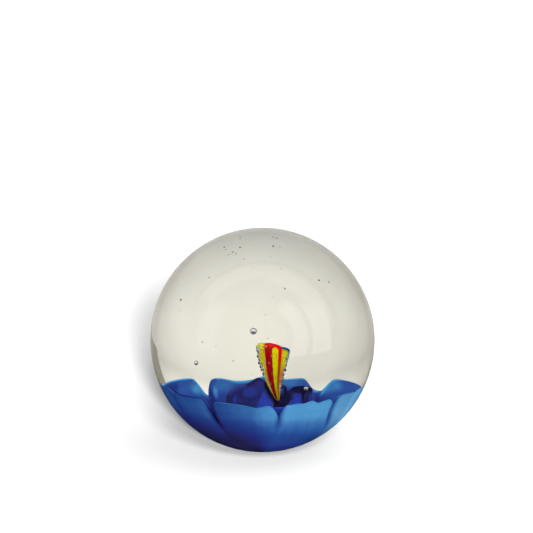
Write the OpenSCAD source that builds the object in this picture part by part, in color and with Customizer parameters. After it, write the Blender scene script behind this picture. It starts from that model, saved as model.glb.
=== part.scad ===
// Solid clear glass ball with a blue glass flower and a striped glass cone inside.
// Millimetres, +Z up along the flower's axis, origin at the centre of the ball.

/* [Ball] */
// Diameter of the finished ball
ball_d = 35; // [16:0.5:60]

/* [Petal cup] */
// Radius of the cup's outside, as a share of the ball's radius
cup_share = 0.74; // [0.70:0.01:0.80]
// Glass thickness at the petals' free edge, mm on a 35 mm ball
petal_edge_t = 0.45; // [0.3:0.05:0.8]
// Glass thickness at the cup's floor, mm on a 35 mm ball
cup_floor_t = 1.6; // [0.8:0.1:2.4]
// How far the petals' tips stand above their nominal height, mm on a 35 mm ball
petal_lift = 0; // [-1:0.1:1]
// Depth of the furrow between two petals, mm on a 35 mm ball
furrow = 0.45; // [0:0.05:0.8]

/* [Inner whorl] */
// Radius of the inner whorl, mm on a 35 mm ball
whorl_r = 4.4; // [3.8:0.1:5]
// Glass thickness of the inner whorl, mm on a 35 mm ball
whorl_t = 0.5; // [0.3:0.05:0.7]
// Radius of the knob below the cone's point, mm on a 35 mm ball
knob_r = 0.47; // [0.3:0.01:0.6]

/* [Striped cone] */
// Radius of the cone at full width, mm on a 35 mm ball
cone_r = 1.62; // [1.3:0.01:1.8]
// Height at which the cone reaches that width, mm on a 35 mm ball
cone_h = 5.35; // [4.9:0.05:5.6]
// Lean of the cone from upright
cone_lean = 4; // [0:1:6]
// Share of the cone's radius that a red stripe reaches inwards
stripe_depth = 0.4; // [0.2:0.05:0.6]
// Radius of the blue thread over the cone's shoulder, mm on a 35 mm ball
thread_r = 0.10; // [0.06:0.01:0.12]

/* [Air bubbles] */
// Diameter of the largest bubble, mm on a 35 mm ball
bubble_d = 0.7; // [0.3:0.05:0.9]

/* [Hidden] */

R = ball_d / 2;
k = ball_d / 35;
cup_r = cup_share * R;

// One row a petal, going round from the front, heights as shares of the ball's radius:
// azimuth of its first edge, height of the notch there, share of its half-width over which
// the rim falls and the power of that fall at its first and at its last edge, heights along
// its rim.
petals = [
  [-38.5, -0.530, [0.18, 0.5], [0.42, 0.8], [-0.345, -0.34, -0.342, -0.35, -0.368, -0.348, -0.35]],
  [ 13, -0.475, [0.20, 0.9], [0.35, 0.8], [-0.345, -0.352, -0.345, -0.347, -0.332, -0.357, -0.347, -0.345, -0.35]],
  [ 57, -0.400, [0.15, 0.6], [0.30, 0.8], [-0.34, -0.33, -0.33, -0.335, -0.33]],
  [ 80, -0.360, [0.30, 0.8], [0.30, 1.0], [-0.33, -0.325, -0.32, -0.325]],
  [118, -0.480, [0.30, 1.0], [0.195, 1.6], [-0.325, -0.32, -0.32, -0.316, -0.318]],
  [155.2, -0.368, [0.41, 8.0], [0.13, 0.9], [-0.325, -0.325, -0.335, -0.34, -0.33, -0.345, -0.345, -0.33, -0.33]],
  [202.5, -0.395, [0.24, 2.2], [0.30, 1.0], [-0.32, -0.31, -0.31, -0.32, -0.325]],
  [245, -0.460, [0.30, 1.0], [0.30, 0.8], [-0.31, -0.305, -0.315, -0.31]],
  [284, -0.360, [0.30, 0.8], [0.25, 1.6], [-0.305, -0.31, -0.33, -0.325, -0.325, -0.32, -0.315]]];

// The same for the inner whorl, whose lobes behind the cone stand taller than those before it.
lobes = [
  [-15, -0.400, [0.30, 0.8], [0.30, 0.8], [-0.40, -0.39, -0.39, -0.395, -0.40]],
  [ 72, -0.400, [0.30, 0.6], [0.25, 0.6], [-0.33, -0.305, -0.30, -0.30, -0.30, -0.30, -0.305, -0.315, -0.345]],
  [157, -0.328, [0.30, 0.8], [0.25, 0.8], [-0.31, -0.30, -0.295]],
  [184, -0.295, [0.25, 0.8], [0.25, 0.5], [-0.28, -0.27, -0.29, -0.305, -0.305, -0.31, -0.325, -0.345, -0.36]],
  [262, -0.400, [0.30, 0.8], [0.30, 0.8], [-0.40, -0.395, -0.39, -0.40]]];

// Slant of the seams on one side as they run down the cup, in degrees by azimuth.
slants = [[13, 0], [57, 22], [80, 15], [118, 0]];

cup_steps = 11;    // columns a petal
whorl_steps = 10;  // columns a lobe
whorl_at = [0.035 * R, 0.02 * R];
whorl_floor = -0.53 * R;
whorl_wide = -0.37 * R;

cone_tip = [0.084 * R, 0, -0.365 * R];
knob_at = [0.086 * R, 0, -0.402 * R];

// The cone's upper end is part of a ball that sits a little towards the front.
dome_at = [0.02 * R, -0.08 * R, -0.2245 * R];
dome_r = 0.218 * R;

// Red stripes: azimuth where each begins and its width, going round from the front.
stripes = [[-31, 29], [22, 16], [98, 32], [180, 34], [244, 14]];

// The thread's way: azimuths on the cone, and how far below the shoulder it lies there.
thread_az = [30, 40, 52, 66, 80, 90, 95, 97, 96, 95];
thread_gap = [0.004, 0, -0.002, -0.002, 0, 0.012, 0.035, 0.060, 0.085, 0.110];
thread_clear = 0.02;
thread_rings = 20;

function sq(x) = x * x;
function clamp01(x) = min(1, max(0, x));
function ease(x) = let (t = clamp01(x)) t * t * (3 - 2 * t);
function row(t, i) = t[i % len(t)];
function width(t, i) = (i + 1 < len(t) ? t[i + 1][0] : t[0][0] + 360) - t[i][0];

// Smooth curve through equally spaced values p, x from 0 to 1.
function curve(p, x) =
  let (n = len(p), s = clamp01(x) * (n - 1), i = min(floor(s), n - 2), t = s - i,
       a = p[max(i - 1, 0)], b = p[i], c = p[i + 1], d = p[min(i + 2, n - 1)])
  0.5 * (2 * b + (c - a) * t + (2 * a - 5 * b + 4 * c - d) * t * t + (3 * b - a - 3 * c + d) * t * t * t);

// Height of the rim of petal i at u, from -1 at its first edge to 1 at its last.
function rim_z(t, i, u, up) =
  let (e = u < 0 ? t[i][2] : t[i][3],
       x = clamp01((1 - abs(u)) / e[0]),
       full = pow(2 * x - x * x, e[1]),
       notch = t[i][1] * (1 - u) / 2 + row(t, i + 1)[1] * (1 + u) / 2)
  R * (notch + (curve(t[i][4], (u + 1) / 2) - notch) * full) + k * up * full;

// Columns round a whorl of petals: [azimuth, u, rim height], closer together near the notches.
function columns(t, n, up) =
  [for (i = [0 : len(t) - 1], s = [0 : n - 1])
    let (u = -cos(180 * s / n) * 0.75 + (2 * s / n - 1) * 0.25)
    [t[i][0] + width(t, i) * (u + 1) / 2, u, rim_z(t, i, u, up)]];

function dip(u) = k * furrow * pow(abs(u), 7);

// Outside radius of the cup at column c and polar angle q from straight down.
function cup_out(c, q) = cup_r - dip(c[1]) * ease((cup_r * -cos(q) + 0.66 * R) / (0.22 * R));

function cup_wall(z) =
  k * (petal_edge_t + (cup_floor_t - petal_edge_t) * ease((-0.36 * R - z) / (0.34 * R)));

// Polar angle of the rim at column c.
function rim_q(c) = acos(-c[2] / (cup_r - dip(c[1]) - 0.5 * k * petal_edge_t));

// Point of column c at polar angle q and radius r, with the seams' slant.
function cup_at(c, q, r) =
  let (z = -r * cos(q),
       low = min(1.35, max(0, (-0.40 - z / R) / 0.23)),
       a = c[0] + lookup(c[0], slants) * sq(low))
  [r * sin(q) * sin(a), -r * sin(q) * cos(a), z];

// A closed skin through rings of equal length, from a pole at the bottom up one side of the
// wall, over the rim and down the other side to a second pole.
module skin(rings, bottom, top) {
  n = len(rings[0]);
  m = len(rings);
  polyhedron(
    points = concat([bottom], [for (r = rings) each r], [top]),
    faces = concat(
      [for (j = [0 : n - 1]) [0, 1 + j, 1 + (j + 1) % n]],
      [for (i = [0 : m - 2], j = [0 : n - 1], h = [0, 1])
        let (a = 1 + i * n + j, b = 1 + i * n + (j + 1) % n)
        h == 0 ? [a, a + n, b] : [b, a + n, b + n]],
      [for (j = [0 : n - 1]) [1 + m * n, 1 + (m - 1) * n + (j + 1) % n, 1 + (m - 1) * n + j]]));
}

module cup_form() {
  cols = columns(petals, cup_steps, petal_lift);
  out_v = [0.14, 0.30, 0.46, 0.60, 0.72, 0.82, 0.91, 0.97];
  in_v = [0.96, 0.88, 0.76, 0.62, 0.46, 0.30, 0.14];
  rings = concat(
    [for (v = out_v) [for (c = cols)
      let (q = v * rim_q(c)) cup_at(c, q, cup_out(c, q))]],
    [[for (c = cols)
      let (q = rim_q(c)) cup_at(c, q, cup_out(c, q) - 0.5 * cup_wall(c[2]))]],
    [for (v = in_v) [for (c = cols)
      let (q = v * rim_q(c)) cup_at(c, q, cup_out(c, q) - cup_wall(-cup_r * cos(q)))]]);
  skin(rings, [0, 0, -cup_r], [0, 0, -cup_r + k * cup_floor_t]);
}

// Radius of the whorl's outside at height z: a small bowl that rises into upright lobes.
function whorl_out(z, inset) =
  z > whorl_wide ? k * (whorl_r - inset)
                 : k * (whorl_r - inset) * sqrt(clamp01(1 - sq((whorl_wide - z) / (whorl_wide - whorl_floor - k * inset))));

module whorl_shell() {
  cols = columns(lobes, whorl_steps, 0);
  function at(c, z, r, pinch) =
    let (w = r * (1 - pinch * pow(abs(c[1]), 4)))
    [whorl_at[0] + w * sin(c[0]), whorl_at[1] - w * cos(c[0]), z];
  function side(v, inset) = [for (c = cols)
    let (z0 = whorl_floor + k * inset, z = z0 + (c[2] - z0) * v)
    at(c, z, whorl_out(z, inset), 0.05 * v)];
  rings = concat(
    [for (v = [0.05, 0.16, 0.34, 0.56, 0.78, 0.94]) side(v, 0)],
    [[for (c = cols) at(c, c[2], whorl_out(c[2], whorl_t / 2), 0.05)]],
    [for (v = [0.92, 0.76, 0.54, 0.32, 0.15, 0.05]) side(v, whorl_t)]);
  skin(rings, [whorl_at[0], whorl_at[1], whorl_floor],
              [whorl_at[0], whorl_at[1], whorl_floor + k * whorl_t]);
}

// The knob stands below the cone's point on a thin stem that rises from the bowl's floor.
module knob_form() {
  translate(knob_at) sphere(r = k * knob_r, $fn = 48);
  translate([knob_at[0], knob_at[1], -0.515 * R])
    cylinder(r = k * knob_r * 0.42, h = 0.515 * R + knob_at[2], $fn = 32);
}

module whorl_form() {
  whorl_shell();
  knob_form();
}

// The cone stands on a blunt point. Its sides swell a little on the way up.
function cone_grow(h) = 0.09 + 1.23 * h - 0.32 * h * h;

// Point on the cone's side, or out millimetres off it.
function cone_side(a, h, out) =
  let (r = k * cone_r * cone_grow(h) + out, x = r * sin(a), z = k * cone_h * h)
  cone_tip + [x * cos(cone_lean) - z * sin(cone_lean), -r * cos(a), x * sin(cone_lean) + z * cos(cone_lean)];

// Height at which the side at azimuth a meets the domed end.
function cone_top(a, lo = 0.4, hi = 1.35, n = 24) =
  let (m = (lo + hi) / 2, in = norm(cone_side(a, m, 0) - dome_at) < dome_r)
  n == 0 ? m : in ? cone_top(a, m, hi, n - 1) : cone_top(a, lo, m, n - 1);

module cone_place() {
  translate(cone_tip) rotate([0, -cone_lean, 0]) children();
}

module cone_form() {
  intersection() {
    cone_place() rotate_extrude($fn = 64) polygon(concat(
      [[0, 0]],
      [for (i = [0 : 11]) let (h = i / 8) [k * cone_r * cone_grow(h), k * cone_h * h]],
      [[0, k * cone_h * 11 / 8]]));
    translate(dome_at) sphere(r = dome_r, $fn = 96);
  }
}

// The room each red stripe takes: a sector outside a smaller cone, running past the surface.
module stripe_room() {
  f = 1 - stripe_depth;
  cone_place() for (s = stripes)
    rotate([0, 0, s[0] - 90]) rotate_extrude(angle = s[1], $fn = 64) polygon(concat(
      [for (i = [1 : 11]) let (h = i / 8) [k * cone_r * f * cone_grow(h), k * cone_h * h]],
      [[k * cone_r * f * cone_grow(11 / 8), k * cone_h * 1.5], [k * cone_r * 2, k * cone_h * 1.5],
       [k * cone_r * 2, k * cone_h / 8]]));
}

module thread_form() {
  function at(t) =
    let (a = curve(thread_az, t), h = cone_top(a) - curve(thread_gap, t) * R / (k * cone_h))
    cone_side(a, h, k * (thread_r + thread_clear));
  function unit(v) = v / norm(v);
  function ring(t, size) =
    let (p = at(t), d = unit(at(min(1, t + 0.01)) - at(max(0, t - 0.01))),
         e = unit(cross([0, -1, 0.3], d)), f = cross(d, e))
    [for (j = [0 : 7]) p + k * thread_r * size * (cos(45 * j) * e + sin(45 * j) * f)];
  skin([for (i = [0 : thread_rings]) let (t = i / thread_rings) ring(t, sqrt(clamp01(0.25 + 5 * t * (1 - t))))],
       at(0), at(1));
}

// Bubbles: place as shares of the ball's radius, diameter as a share of the largest.
bubbles = [
  [-0.051, 0.00,  0.058, 1.00], [-0.398, 0.00, -0.139, 0.65], [ 0.256, 0.00, -0.280, 0.75],
  [-0.257, 0.10,  0.613, 0.25], [-0.198, 0.10,  0.556, 0.40], [-0.161, 0.10,  0.732, 0.35],
  [-0.133, 0.10,  0.590, 0.30], [ 0.073, 0.10,  0.707, 0.30], [ 0.070, 0.10,  0.599, 0.35],
  [ 0.134, 0.10,  0.287, 0.30], [ 0.346, 0.10,  0.349, 0.35], [ 0.411, 0.10,  0.341, 0.25],
  [-0.530, 0.00,  0.266, 0.35], [-0.347, 0.00,  0.413, 0.25], [ 0.631, 0.00,  0.106, 0.20]];

module clear_ball() {
  color([0.90, 0.90, 0.84, 0.35]) difference() {
    sphere(d = ball_d, $fn = 128);
    cup_form();
    whorl_form();
    cone_form();
    thread_form();
    for (b = bubbles) translate([b[0] * R, b[1] * R, b[2] * R]) sphere(d = k * bubble_d * b[3], $fn = 32);
  }
}
module petal_cup() {
  color([0.12, 0.36, 0.68]) cup_form();
}
module inner_whorl() {
  color([0.13, 0.14, 0.36]) whorl_form();
}
module cone_body() {
  color([0.80, 0.78, 0.08]) difference() {
    cone_form();
    stripe_room();
  }
}
module cone_stripes() {
  color([0.68, 0.08, 0.07]) intersection() {
    cone_form();
    stripe_room();
  }
}
module cone_thread() {
  color([0.10, 0.30, 0.62]) thread_form();
}

clear_ball();
petal_cup();
inner_whorl();
cone_body();
cone_stripes();
cone_thread();
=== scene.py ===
import math

import bpy
import numpy as np
from mathutils import Matrix, Vector


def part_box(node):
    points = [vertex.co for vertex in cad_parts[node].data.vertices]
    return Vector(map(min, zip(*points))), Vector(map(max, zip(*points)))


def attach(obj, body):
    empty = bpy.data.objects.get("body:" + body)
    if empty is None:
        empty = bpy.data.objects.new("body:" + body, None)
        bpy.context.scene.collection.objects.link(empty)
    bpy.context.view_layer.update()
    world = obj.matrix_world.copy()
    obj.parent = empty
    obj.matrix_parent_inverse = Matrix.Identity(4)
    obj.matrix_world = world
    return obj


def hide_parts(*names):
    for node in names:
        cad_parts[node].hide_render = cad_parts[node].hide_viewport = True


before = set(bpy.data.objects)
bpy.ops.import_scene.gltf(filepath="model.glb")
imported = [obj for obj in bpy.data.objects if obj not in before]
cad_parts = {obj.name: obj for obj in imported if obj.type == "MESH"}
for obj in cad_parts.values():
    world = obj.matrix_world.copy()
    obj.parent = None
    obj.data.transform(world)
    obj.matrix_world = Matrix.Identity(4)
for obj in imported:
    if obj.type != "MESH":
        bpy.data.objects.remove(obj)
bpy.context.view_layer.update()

lo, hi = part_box("clear_ball")
R = (hi.z - lo.z) / 2
MM = R / 17.5
scene = bpy.context.scene


# ---------------------------------------------------------------- helpers
def sm(t):
    t = np.clip(t, 0.0, 1.0)
    return t * t * (3 - 2 * t)


def mesh_object(name, verts, faces, smooth=True):
    me = bpy.data.meshes.new(name)
    me.from_pydata([tuple(v) for v in verts], [], [tuple(f) for f in faces])
    me.validate(clean_customdata=False)
    me.update()
    if smooth:
        me.polygons.foreach_set("use_smooth", [True] * len(me.polygons))
    ob = bpy.data.objects.new(name, me)
    scene.collection.objects.link(ob)
    return ob


def add_attr(ob, name, values):
    a = ob.data.attributes.new(name, "FLOAT", "POINT")
    a.data.foreach_set("value", np.asarray(values, np.float32))


def skin(rings, bottom, top):
    """Closed mesh through rings of equal length between two poles. Quads, triangles at the poles."""
    m, n = rings.shape[0], rings.shape[1]
    verts = np.concatenate([[bottom], rings.reshape(-1, 3), [top]])
    faces = []
    for j in range(n):
        faces.append((0, 1 + (j + 1) % n, 1 + j))
    for i in range(m - 1):
        for j in range(n):
            a, b = 1 + i * n + j, 1 + i * n + (j + 1) % n
            faces.append((a, b, b + n, a + n))
    e = 1 + m * n
    for j in range(n):
        faces.append((e, 1 + (m - 1) * n + j, 1 + (m - 1) * n + (j + 1) % n))
    return verts, faces


class Nodes:
    """Short way to write a material's nodes."""

    def __init__(self, name):
        self.m = bpy.data.materials.new(name)
        self.m.use_nodes = True
        self.nt = self.m.node_tree
        self.nt.nodes.clear()
        self.out = self.nt.nodes.new("ShaderNodeOutputMaterial")

    def n(self, kind, **props):
        node = self.nt.nodes.new("ShaderNode" + kind)
        for k, v in props.items():
            if k == "inputs":
                for s, val in v.items():
                    if isinstance(val, bpy.types.NodeSocket):
                        self.nt.links.new(val, node.inputs[s])
                    else:
                        node.inputs[s].default_value = val
            else:
                setattr(node, k, v)
        return node

    def link(self, a, b):
        self.nt.links.new(a, b)

    def math(self, op, a, b=0.0, c=0.0, clamp=False):
        node = self.nt.nodes.new("ShaderNodeMath")
        node.operation = op
        node.use_clamp = clamp
        for s, v in zip(node.inputs, (a, b, c)):
            if isinstance(v, bpy.types.NodeSocket):
                self.nt.links.new(v, s)
            else:
                s.default_value = v
        return node.outputs[0]

    def mix(self, fac, a, b, mode="MIX"):
        node = self.nt.nodes.new("ShaderNodeMix")
        node.data_type = "RGBA"
        node.blend_type = mode
        for s, v in ((node.inputs[0], fac), (node.inputs[6], a), (node.inputs[7], b)):
            if isinstance(v, bpy.types.NodeSocket):
                self.nt.links.new(v, s)
            elif isinstance(v, (tuple, list)):
                s.default_value = (*v, 1.0) if len(v) == 3 else v
            else:
                s.default_value = v
        return node.outputs[2]

    def attr(self, name):
        node = self.nt.nodes.new("ShaderNodeAttribute")
        node.attribute_name = name
        return node.outputs["Fac"]

    def ramp(self, fac, stops, mode="EASE"):
        node = self.nt.nodes.new("ShaderNodeValToRGB")
        cr = node.color_ramp
        cr.interpolation = mode
        while len(cr.elements) > 1:
            cr.elements.remove(cr.elements[-1])
        cr.elements[0].position = stops[0][0]
        cr.elements[0].color = (*stops[0][1], 1.0)
        for p, col in stops[1:]:
            e = cr.elements.new(p)
            e.color = (*col, 1.0)
        self.nt.links.new(fac, node.inputs[0])
        return node.outputs[0]


def lin(r, g, b):
    f = lambda c: c / 12.92 if c <= 0.04045 else ((c + 0.055) / 1.055) ** 2.4
    return tuple(f(c / 255) for c in (r, g, b))


def band(x, first, last, soft):
    """1 from first to last, easing to 0 over soft on each side."""
    return sm((x - first) / soft + 1) * sm((last - x) / soft + 1)


def apart(a, b):
    """Signed difference of two azimuths in degrees."""
    return (np.asarray(a) - b + 180) % 360 - 180


def spot(az, z, a0, z0, wa, wz):
    """Soft oval of half-widths wa degrees and wz at azimuth a0 and height z0."""
    d = np.sqrt((apart(az, a0) / wa) ** 2 + ((z - z0) / wz) ** 2)
    return sm(1.5 - d)


def spline(pts, x):
    """Catmull-Rom curve through equally spaced values, x from 0 to 1."""
    p = np.array([pts[0], *pts, pts[-1]], float)
    s = np.clip(x, 0, 1) * (len(pts) - 1)
    i = np.minimum(s.astype(int), len(pts) - 2)
    t = s - i
    a, b, c, d = p[i], p[i + 1], p[i + 2], p[i + 3]
    return 0.5 * (2 * b + (c - a) * t + (2 * a - 5 * b + 4 * c - d) * t * t + (3 * b - a - 3 * c + d) * t ** 3)


# ---------------------------------------------------------------- petal cup
# azimuth of the petal's first edge, height of the notch there, share of the half-width over which
# the rim falls and the power of that fall at the first and the last edge, heights along the rim
PETALS = [
    (-38.5, -0.53, (0.18, 0.5), (0.42, 0.8), (-0.345, -0.34, -0.342, -0.35, -0.368, -0.348, -0.35)),
    (13, -0.475, (0.20, 0.9), (0.35, 0.8), (-0.345, -0.352, -0.345, -0.347, -0.332, -0.357, -0.347, -0.345, -0.35)),
    (57, -0.40, (0.15, 0.6), (0.30, 0.8), (-0.34, -0.33, -0.33, -0.335, -0.33)),
    (80, -0.36, (0.30, 0.8), (0.30, 1.0), (-0.33, -0.325, -0.32, -0.325)),
    (118, -0.48, (0.30, 1.0), (0.195, 1.6), (-0.325, -0.32, -0.32, -0.316, -0.318)),
    (155.2, -0.368, (0.41, 8.0), (0.13, 0.9), (-0.325, -0.325, -0.335, -0.34, -0.33, -0.345, -0.345, -0.33, -0.33)),
    (202.5, -0.395, (0.24, 2.2), (0.30, 1.0), (-0.32, -0.31, -0.31, -0.32, -0.325)),
    (245, -0.46, (0.30, 1.0), (0.30, 0.8), (-0.31, -0.305, -0.315, -0.31)),
    (284, -0.36, (0.30, 0.8), (0.25, 1.6), (-0.305, -0.31, -0.33, -0.325, -0.325, -0.32, -0.315)),
]
# how much darker (below 0 lighter) the blue is painted at each petal's first and last edge, in part painted light and
# shade from the light at the right, and at the seam before it
TONES_AND_SHADE = [
    (0.52, 0.02, 0.30), (0.01, -0.02, 0.24), (-0.08, -0.24, 0.36), (-0.30, -0.16, 0.10), (0.05, 0.10, 0.25),
    (0.09, 0.12, 0.25), (0.12, 0.26, 0.25), (0.28, 0.42, 0.25), (0.50, 0.32, 0.10),
]
LOBES = [
    (-15, -0.40, (0.3, 0.8), (0.3, 0.8), (-0.40, -0.39, -0.39, -0.395, -0.40)),
    (72, -0.40, (0.30, 0.6), (0.25, 0.6), (-0.33, -0.305, -0.30, -0.30, -0.30, -0.30, -0.305, -0.315, -0.345)),
    (157, -0.328, (0.30, 0.8), (0.25, 0.8), (-0.31, -0.30, -0.295)),
    (184, -0.295, (0.25, 0.8), (0.25, 0.5), (-0.28, -0.27, -0.29, -0.305, -0.305, -0.31, -0.325, -0.345, -0.36)),
    (262, -0.40, (0.3, 0.8), (0.3, 0.8), (-0.40, -0.395, -0.39, -0.40)),
]
CUP_R = 0.74 * R
EDGE_T, FLOOR_T = 0.45 * MM, 1.6 * MM
FURROW = 0.45 * MM


def columns(table, n):
    """Azimuth in degrees, place across the petal (-1..1), rim height in R and petal number of each column."""
    out = []
    for i, t in enumerate(table):
        nxt = table[(i + 1) % len(table)]
        w = (nxt[0] if i + 1 < len(table) else table[0][0] + 360) - t[0]
        s = np.arange(n) / n
        u = -np.cos(np.pi * s) * 0.75 + (2 * s - 1) * 0.25
        share = np.where(u < 0, t[2][0], t[3][0])
        power = np.where(u < 0, t[2][1], t[3][1])
        x = np.clip((1 - np.abs(u)) / share, 0, 1)
        full = (2 * x - x * x) ** power
        notch = t[1] * (1 - u) / 2 + nxt[1] * (1 + u) / 2
        z = notch + (spline(t[4], (u + 1) / 2) - notch) * full
        out.append(np.stack([t[0] + w * (u + 1) / 2, u, z, np.full(n, i), np.full(n, w / 2)]))
    return np.concatenate(out, 1)


def build_cup():
    az0, u, rim, idx, half = columns(PETALS, 44)
    idx = idx.astype(int)
    rz = rim * R
    dip = FURROW * np.abs(u) ** 7
    q_rim = np.arccos(-rz / (CUP_R - dip - 0.5 * EDGE_T))
    # the seams on one side are drawn out in a slant as they go down
    slant = np.interp(az0, [13, 57, 80, 118], [0, 22, 15, 0])
    out_v = np.concatenate([np.linspace(0.04, 0.80, 30), np.linspace(0.82, 0.985, 16)])
    rings, side = [], []

    def wall(z):
        return EDGE_T + (FLOOR_T - EDGE_T) * sm((-0.36 * R - z) / (0.34 * R))

    def outr(q):
        return CUP_R - dip * sm((-CUP_R * np.cos(q) + 0.66 * R) / (0.22 * R))

    def put_ring(q, r, s):
        z = -r * np.cos(q)
        az = np.radians(az0 + slant * np.clip((-0.40 - z / R) / 0.23, 0, 1.35) ** 2)
        rings.append(np.stack([r * np.sin(q) * np.sin(az), -r * np.sin(q) * np.cos(az), z], -1))
        side.append(np.full_like(az, s))

    for v in out_v:
        q = v * q_rim
        put_ring(q, outr(q), 0.0)
    # rounded free edge
    for a in (20, 45, 70, 90, 110, 135, 160):
        t = math.radians(a)
        q = q_rim * (0.985 + 0.015 * math.sin(t))
        s = 0.5 * (1 - math.cos(t))
        put_ring(q, outr(q) - wall(rz) * s, s)
    for v in out_v[::-1]:
        q = v * q_rim
        put_ring(q, outr(q) - wall(-CUP_R * np.cos(q)), 1.0)
    rings = np.array(rings)
    m = len(rings)
    verts, faces = skin(rings, (0, 0, -CUP_R), (0, 0, -CUP_R + FLOOR_T))
    ob = mesh_object("petals", verts, faces)
    z = rings[..., 2] / R
    below = rim[None, :] - z
    az = np.broadcast_to(az0, z.shape)
    seam_gap = np.broadcast_to(half * (1 - np.abs(u)), z.shape)

    # outside: deep at the foot, light towards the tips, partly the glass thickening downwards and partly painted shade
    # on the faces turned down from the light
    c = np.interp(z, [-0.74, -0.70, -0.62, -0.54, -0.50, -0.46, -0.40], [0.28, 0.36, 0.48, 0.65, 0.76, 0.88, 0.95])
    tone_and_shade = np.array(TONES_AND_SHADE)
    first, last = tone_and_shade[idx, 0], tone_and_shade[idx, 1]
    # painted light and shade in part: each petal lighter or darker across its width
    c = c - (first * (1 - u) / 2 + last * (1 + u) / 2)
    seam = np.where(u < 0, tone_and_shade[idx, 2], tone_and_shade[(idx + 1) % len(tone_and_shade), 2])
    c = c - seam * np.exp(-(seam_gap / 2.6) ** 2) * sm((z + 0.60) / 0.13)
    c = c - 0.02 * np.exp(-(apart(az, 26) / 3) ** 2) - 0.05 * np.exp(-(apart(az, -8) / 4) ** 2)
    # painted shade: a dark line along the free edge of the two front petals, outside
    c = c - 0.35 * np.isin(idx, (2, 8)) * sm(1.6 - below / 0.009)
    # inside: darker towards the floor, partly the thicker glass there and partly painted shade deep in the cup, and
    # darker along the seams, with patches of painted light showing through the wall and a few darker patches
    d = np.interp(z, [-0.60, -0.50, -0.45, -0.41, -0.385, -0.35, -0.31], [0.0, 0.02, 0.15, 0.28, 0.38, 0.50, 0.48])
    for a0, z0, wa, wz, k in (
        (200.0, -0.378, 1.2, 0.020, 0.42), (196, -0.36, 4.0, 0.022, 0.15), (206, -0.362, 2.0, 0.018, 0.30),
        (214, -0.335, 1.5, 0.018, -0.25), (170, -0.350, 3.5, 0.016, 0.22), (165, -0.340, 2.5, 0.014, 0.08),
        (152, -0.340, 2.5, 0.022, 0.22), (184, -0.36, 4.0, 0.020, -0.12), (136, -0.34, 6.0, 0.02, 0.2),
        (153.8, -0.363, 1.8, 0.016, 0.22), (150, -0.338, 1.6, 0.015, 0.12), (207.2, -0.348, 1.6, 0.018, 0.18),
        (225, -0.34, 6.0, 0.02, 0.2), (265, -0.35, 7.0, 0.025, 0.25), (305, -0.37, 7.0, 0.03, 0.25),
        (-20, -0.39, 8.0, 0.03, 0.3), (4, -0.39, 4.0, 0.03, 0.3), (30, -0.38, 7.0, 0.03, 0.3),
        (48, -0.38, 4.0, 0.03, 0.3), (68, -0.37, 6.0, 0.03, 0.25), (98, -0.36, 8.0, 0.03, 0.25),
    ):
        d = d + k * spot(az, z, a0, z0, wa, wz)
    d = d - 0.12 * np.exp(-(seam_gap / 2.2) ** 2)
    # bright free edge, widest on the flanks that face the back light, none on the flanks turned from it
    tilt = np.abs(np.gradient(rim, az0)) * 57.3 / 0.70
    perp = below / np.sqrt(1 + tilt ** 2)
    lip = 1 - 0.5 * np.clip(tilt / 1.6, 0, 1)
    lip = np.where((idx == 5) & (u < -0.62), np.clip(1 - 2.2 * tilt, 0, 1), lip)
    lip = np.where((idx == 5) & (u > 0.80), 0.1, lip)
    lip = np.where(((idx == 6) & (u < 0)) | ((idx == 4) & (u > 0)), 1.0, lip)
    lip = np.where(idx == 8, 0.25, lip)
    lip = np.where((idx == 6) & (u < -0.9), np.interp(u, [-0.97, -0.9], [0.0, 1.0]), lip)
    lip = np.where((idx == 5) & (u > 0.80), 0.0, lip)
    lip = np.where((idx == 4) & (u < 0.80), np.interp(u, [0.60, 0.80], [0.45, 1.0]), lip)
    lip = np.where((idx == 4) & (u > 0.96), 0.6, lip)
    lip = np.where((idx == 6) & (u > 0.45), lip * np.interp(u, [0.45, 0.9], [1.0, 0.25]), lip)
    wide = np.where((idx == 6) & (u < -0.76), 0.009, np.where((idx == 4) & (u > 0.78), 0.014, 0.0045))
    d = np.maximum(d, sm(1.6 - perp / wide) * lip)
    side = np.array(side)
    pad = lambda a, first, last: np.concatenate([[first], np.asarray(a).ravel(), [last]])
    add_attr(ob, "outer", pad(np.clip(c, 0.0, 1.0), 0.25, 0.25))
    add_attr(ob, "inner", pad(np.clip(d, 0.0, 1.0), 0.0, 0.0))
    add_attr(ob, "side", pad(side, 0, 1))
    # partly painted light: a lighter, greyer patch on the right-hand petals, away from the seams
    add_attr(ob, "pale_and_lit", pad(band(az, 62, 92, 12) * sm((z + 0.74) / 0.2) * (1 - np.exp(-(seam_gap / 4) ** 2)), 0, 0))
    # painted shade: a dark crease down petal 0's first edge outside and inside, and petal 8's last edge darker inside
    crease_shade = ((idx == 0) & (u < 0)) * np.exp(-(np.maximum(seam_gap - 1.0, 0) / 2.4) ** 2) * band(z, -0.54, -0.40, 0.04)
    notch = ((idx == 8) & (u > 0)) * np.exp(-(np.maximum(seam_gap - 1.0, 0) / 2.4) ** 2) * band(z, -0.53, -0.40, 0.03)
    add_attr(ob, "crease_shade", pad(crease_shade, 0, 0))
    add_attr(ob, "notch", pad(np.maximum(notch, crease_shade), 0, 0))
    # painted light: the petals brighter near the ball's right-hand outline
    add_attr(ob, "limb_highlight", pad(band(az, 84, 112, 12) * sm((z + 0.66) / 0.12), 0, 0))
    add_attr(ob, "turn", pad(np.broadcast_to(az0 / 360, z.shape), 0, 0))
    return ob


# ---------------------------------------------------------------- inner whorl
WHORL_AT = (0.035 * R, 0.02 * R)
WHORL_R, WHORL_T = 4.38 * MM, 0.5 * MM
KNOB = (0.088, 0.0, -0.402, 0.027)


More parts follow.
